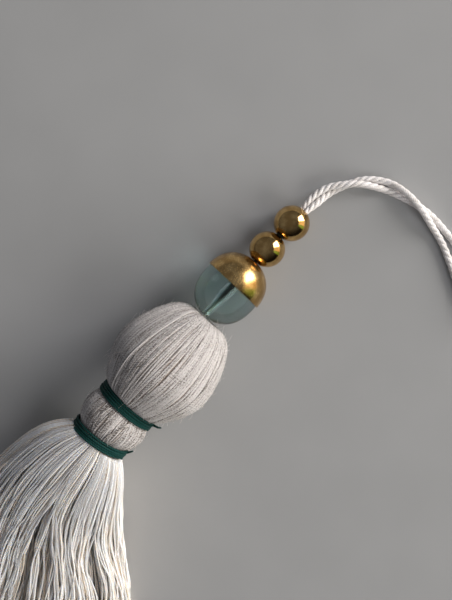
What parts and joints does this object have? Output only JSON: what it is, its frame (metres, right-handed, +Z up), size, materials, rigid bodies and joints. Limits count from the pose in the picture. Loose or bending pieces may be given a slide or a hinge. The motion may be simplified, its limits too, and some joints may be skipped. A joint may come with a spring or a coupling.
{
  "type": "beaded tassel",
  "caption": "Tassel with a ball head, small neck ball and loose yarn skirt, tied with thread, hung below a brass-capped glass bead and round brass beads on a doubled cord",
  "frame": {"origin": "On the table, at the middle of the small flat spot under the ball head.", "axes": "+Z up from the table, +X along the tassel's axis from the skirt to the beads, +Y to the left of that."},
  "size_m": [0.2027, 0.0735, 0.0308],
  "materials": {
    "cotton_yarn": "undyed two-ply cotton yarn, matt and slightly hairy",
    "binding_thread": "dark green waxed thread, low sheen",
    "teal_glass": "clear grey-teal glass, polished",
    "polished_brass": "polished brass, mirror-like with faint brushing",
    "white_cord": "three-ply twisted white cord with a soft sheen"
  },
  "bodies": {
    "root": {"yarn_bundle": "cotton_yarn", "head_binding": "binding_thread", "neck_binding": "binding_thread", "glass_bead": "teal_glass", "brass_cap": "polished_brass", "brass_bead_lower": "polished_brass", "brass_bead_upper": "polished_brass", "threaded_cord": "white_cord", "hanging_cord": "white_cord"}
  },
  "joints": []
}
